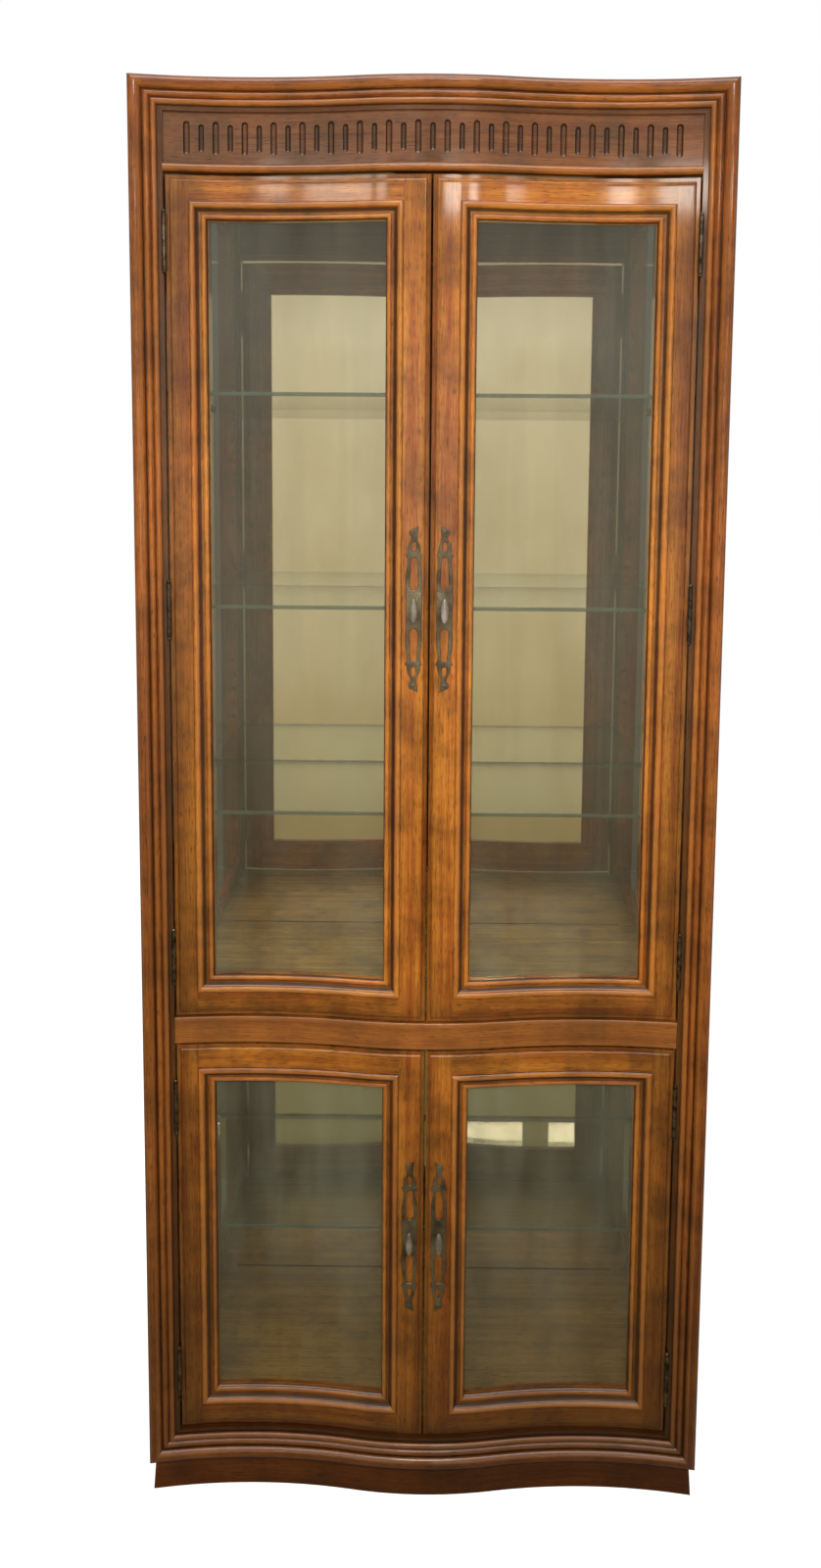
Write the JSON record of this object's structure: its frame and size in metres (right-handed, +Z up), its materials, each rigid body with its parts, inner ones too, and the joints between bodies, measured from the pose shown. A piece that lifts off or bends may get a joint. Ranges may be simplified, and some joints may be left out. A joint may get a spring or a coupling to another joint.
{
  "type": "display cabinet",
  "caption": "Tall wooden display cabinet with a serpentine front, glazed upper and lower doors, glass sides, mirrored back, glass shelves, fluted frieze and plinth.",
  "frame": {"origin": "on the floor, under the middle of the cabinet's overall width and depth", "axes": "+X to the right seen from the front, +Y from the doors to the back, +Z up"},
  "size_m": [0.82, 0.3818, 2.06],
  "materials": {
    "stained_wood": "satin lacquer over a warm brown stain with dark glaze in the grooves",
    "frieze_wood": "satin lacquer, a little pinker brown than the doors",
    "plinth_wood": "dark brown stain",
    "back_board": "plain unpolished board",
    "clear_glass": "clear polished glass",
    "shelf_glass": "clear glass with ground green edges",
    "mirror_glass": "silvered",
    "aged_brass": "antiqued, dull on the plate and burnished on the knob",
    "dark_bronze": "dark bronze lacquer",
    "steel": "nickel plated",
    "black_plastic": "moulded"
  },
  "bodies": {
    "root": {"frame_moulding_top": "stained_wood", "frame_moulding_bottom": "stained_wood", "frame_moulding_left": "stained_wood", "frame_moulding_right": "stained_wood", "hinge_frame_screws": "dark_bronze", "frieze_panel": "frieze_wood", "frieze_bead": "stained_wood", "mid_rail": "stained_wood", "plinth_front": "plinth_wood", "plinth_returns": "plinth_wood", "side_frame_right": "stained_wood", "side_frame_left": "stained_wood", "side_glass": "clear_glass", "top_panel": "stained_wood", "upper_floor": "stained_wood", "lower_floor": "stained_wood", "back_panel": "back_board", "back_mirrors": "mirror_glass", "upper_shelf_top": "shelf_glass", "upper_shelf_middle": "shelf_glass", "upper_shelf_bottom": "shelf_glass", "lower_shelf": "shelf_glass", "shelf_pins": "steel", "hinge_frame_leaves": "dark_bronze", "hinge_pins": "dark_bronze", "magnet_catches": "black_plastic"},
    "upper_left_door": {"upper_left_door_hinge_stile": "stained_wood", "upper_left_door_meeting_stile": "stained_wood", "upper_left_door_rails": "stained_wood", "upper_left_door_glazing": "stained_wood", "upper_left_door_glass": "clear_glass", "upper_left_door_pull_plate": "aged_brass", "upper_left_door_pull_knob": "aged_brass", "upper_left_door_fittings": "dark_bronze"},
    "upper_right_door": {"upper_right_door_hinge_stile": "stained_wood", "upper_right_door_meeting_stile": "stained_wood", "upper_right_door_rails": "stained_wood", "upper_right_door_glazing": "stained_wood", "upper_right_door_glass": "clear_glass", "upper_right_door_pull_plate": "aged_brass", "upper_right_door_pull_knob": "aged_brass", "upper_right_door_fittings": "dark_bronze"},
    "lower_left_door": {"lower_left_door_hinge_stile": "stained_wood", "lower_left_door_meeting_stile": "stained_wood", "lower_left_door_rails": "stained_wood", "lower_left_door_glazing": "stained_wood", "lower_left_door_glass": "clear_glass", "lower_left_door_pull_plate": "aged_brass", "lower_left_door_pull_knob": "aged_brass", "lower_left_door_fittings": "dark_bronze"},
    "lower_right_door": {"lower_right_door_hinge_stile": "stained_wood", "lower_right_door_meeting_stile": "stained_wood", "lower_right_door_rails": "stained_wood", "lower_right_door_glazing": "stained_wood", "lower_right_door_glass": "clear_glass", "lower_right_door_pull_plate": "aged_brass", "lower_right_door_pull_knob": "aged_brass", "lower_right_door_fittings": "dark_bronze"}
  },
  "joints": [
    {"name": "upper_left_door_hinge", "type": "hinge", "parent": "root", "child": "upper_left_door", "pos_m": [-0.365, -0.16245, 1.337], "axis": [0, 0, -1], "range_deg": [0, 110]},
    {"name": "upper_right_door_hinge", "type": "hinge", "parent": "root", "child": "upper_right_door", "pos_m": [0.365, -0.16245, 1.337], "axis": [0, 0, 1], "range_deg": [0, 110]},
    {"name": "lower_left_door_hinge", "type": "hinge", "parent": "root", "child": "lower_left_door", "pos_m": [-0.365, -0.16245, 0.394], "axis": [0, 0, -1], "range_deg": [0, 110]},
    {"name": "lower_right_door_hinge", "type": "hinge", "parent": "root", "child": "lower_right_door", "pos_m": [0.365, -0.16245, 0.394], "axis": [0, 0, 1], "range_deg": [0, 110]}
  ]
}
